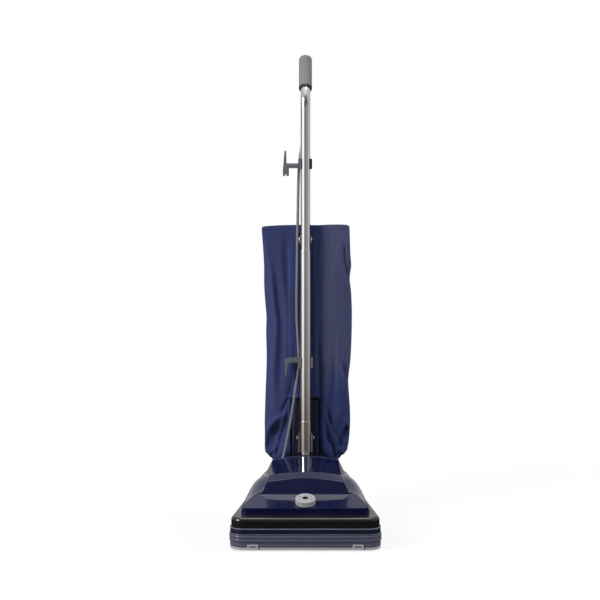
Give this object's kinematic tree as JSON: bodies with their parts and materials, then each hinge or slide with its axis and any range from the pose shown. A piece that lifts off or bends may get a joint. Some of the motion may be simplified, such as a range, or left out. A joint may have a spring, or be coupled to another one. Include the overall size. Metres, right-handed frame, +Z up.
{
  "type": "upright vacuum cleaner",
  "caption": "Upright vacuum cleaner: wide brushed floor base with a sloping hood and height dial, a chrome tube handle with cord hooks, and a tall cloth dust bag behind it.",
  "frame": {"origin": "on the floor, under the centre of the bounding box", "axes": "+X to the right side seen from the front, -Y towards the front, +Z up"},
  "size_m": [0.337, 0.3513, 1.0968],
  "materials": {
    "body_black": "gloss",
    "guard_vinyl": "satin",
    "plate_steel": "bright",
    "hood_navy": "high gloss",
    "knob_grey": "satin",
    "zinc_steel": "plain",
    "carriage_black": "satin",
    "wheel_black": "matte",
    "roll_wood": "sealed",
    "bristle_black": "matte",
    "cap_black": "matte",
    "belt_rubber": "matte",
    "duct_black": "satin",
    "fan_grey": "satin",
    "bearing_steel": "plain",
    "motor_iron": "plain",
    "copper": "plain",
    "carbon": "matte",
    "handle_chrome": "mirror",
    "grip_grey": "matte",
    "ring_black": "satin",
    "hook_grey": "satin",
    "bag_cloth": "woven",
    "paper": "paper",
    "lead_grey": "satin"
  },
  "bodies": {
    "base": {"base_housing": "body_black", "furniture_guard": "guard_vinyl", "bottom_plate": "plate_steel", "hood": "hood_navy", "base_screws": "zinc_steel", "carriage_rod": "zinc_steel", "rear_axle": "zinc_steel", "brush_end_caps": "cap_black", "drive_belt": "belt_rubber", "intake_throat": "duct_black", "fan_housing": "duct_black", "motor_bearings": "bearing_steel", "motor_stator": "motor_iron", "field_coils": "copper", "brush_holders": "copper", "carbon_brushes": "carbon", "motor_bracket": "bearing_steel", "exhaust_duct": "duct_black", "pivot_pins": "zinc_steel", "lead_gland": "body_black"},
    "rotor": {"motor_shaft": "zinc_steel", "fan_impeller": "fan_grey", "armature": "motor_iron", "commutator": "copper"},
    "brush": {"brush_roll": "roll_wood", "bristle_tufts": "bristle_black"},
    "left_latch": {"latch_left": "plate_steel"},
    "right_latch": {"latch_right": "plate_steel"},
    "knob": {"height_knob": "knob_grey", "knob_cam": "knob_grey"},
    "carriage": {"wheel_carriage": "carriage_black", "front_axle": "zinc_steel"},
    "front_left_wheel": {"front_wheel_left": "wheel_black"},
    "front_right_wheel": {"front_wheel_right": "wheel_black"},
    "rear_left_wheel": {"rear_wheel_left": "wheel_black"},
    "rear_right_wheel": {"rear_wheel_right": "wheel_black"},
    "pedal": {"handle_pedal": "carriage_black"},
    "handle": {"handle_fork": "zinc_steel", "lower_tube": "handle_chrome", "middle_tube": "handle_chrome", "upper_tube": "handle_chrome", "joint_bolts": "zinc_steel", "grip": "grip_grey", "grip_ring": "ring_black", "upper_hook_base": "hook_grey", "lower_cord_hook": "hook_grey", "switch_housing": "ring_black", "cord_inlet": "cap_black", "bag_hanger": "zinc_steel", "dust_bag": "bag_cloth", "bag_collar": "belt_rubber", "paper_bag": "paper", "bag_zip": "bag_cloth", "fill_tube": "duct_black", "switch_lead": "lead_grey", "base_lead": "lead_grey", "flexible_neck": "belt_rubber"},
    "swivel_hook": {"upper_cord_hook": "hook_grey"},
    "rocker": {"rocker_switch": "ring_black"},
    "slider": {"zip_slider": "zinc_steel"}
  },
  "joints": [
    {"name": "handle_tilt", "type": "hinge", "parent": "base", "child": "handle", "pos_m": [0, 0.087, 0.088], "axis": [-1, 0, 0], "range_deg": [0, 80], "deforming": ["flexible_neck", "base_lead"]},
    {"name": "motor_spin", "type": "hinge", "parent": "base", "child": "rotor", "pos_m": [0, 0, 0.078], "axis": [0, 1, 0], "continuous": true},
    {"name": "brush_spin", "type": "hinge", "parent": "base", "child": "brush", "pos_m": [0, -0.134, 0.028], "axis": [1, 0, 0], "continuous": true},
    {"name": "left_latch_turn", "type": "hinge", "parent": "base", "child": "left_latch", "pos_m": [-0.112, -0.091, 0.003], "axis": [0, 0, -1], "range_deg": [0, 90]},
    {"name": "right_latch_turn", "type": "hinge", "parent": "base", "child": "right_latch", "pos_m": [0.112, -0.091, 0.003], "axis": [0, 0, 1], "range_deg": [0, 90]},
    {"name": "knob_turn", "type": "hinge", "parent": "base", "child": "knob", "pos_m": [0, -0.112, 0.09594], "axis": [0, -0.2499, 0.9683], "range_deg": [0, 300]},
    {"name": "carriage_rock", "type": "hinge", "parent": "base", "child": "carriage", "pos_m": [0, -0.04, 0.019], "axis": [1, 0, 0], "range_deg": [0, 6]},
    {"name": "front_left_spin", "type": "hinge", "parent": "carriage", "child": "front_left_wheel", "pos_m": [-0.055, -0.084, 0.013], "axis": [1, 0, 0], "continuous": true},
    {"name": "front_right_spin", "type": "hinge", "parent": "carriage", "child": "front_right_wheel", "pos_m": [0.055, -0.084, 0.013], "axis": [1, 0, 0], "continuous": true},
    {"name": "rear_left_spin", "type": "hinge", "parent": "base", "child": "rear_left_wheel", "pos_m": [-0.112, 0.07, 0.022], "axis": [1, 0, 0], "continuous": true},
    {"name": "rear_right_spin", "type": "hinge", "parent": "base", "child": "rear_right_wheel", "pos_m": [0.112, 0.07, 0.022], "axis": [1, 0, 0], "continuous": true},
    {"name": "pedal_press", "type": "hinge", "parent": "base", "child": "pedal", "pos_m": [0.078, 0.099, 0.06], "axis": [-1, 0, 0], "range_deg": [0, 15], "stiffness_Nm_per_rad": 1.2, "springref_deg": -14.32},
    {"name": "hook_turn", "type": "hinge", "parent": "handle", "child": "swivel_hook", "pos_m": [0, 0.087, 0.841], "axis": [1, 0, 0], "range_deg": [0, 180]},
    {"name": "switch_rock", "type": "hinge", "parent": "handle", "child": "rocker", "pos_m": [0, 0.116, 0.931], "axis": [1, 0, 0], "range_deg": [-9, 9]},
    {"name": "zip_slide", "type": "slide", "parent": "handle", "child": "slider", "axis": [0, 0, -1], "range_m": [0, 0.22]}
  ],
  "couplings": [
    {"joint": "brush_spin", "follows": "motor_spin", "ratio": 0.5181},
    {"joint": "carriage_rock", "follows": "knob_turn", "ratio": 0.02}
  ]
}
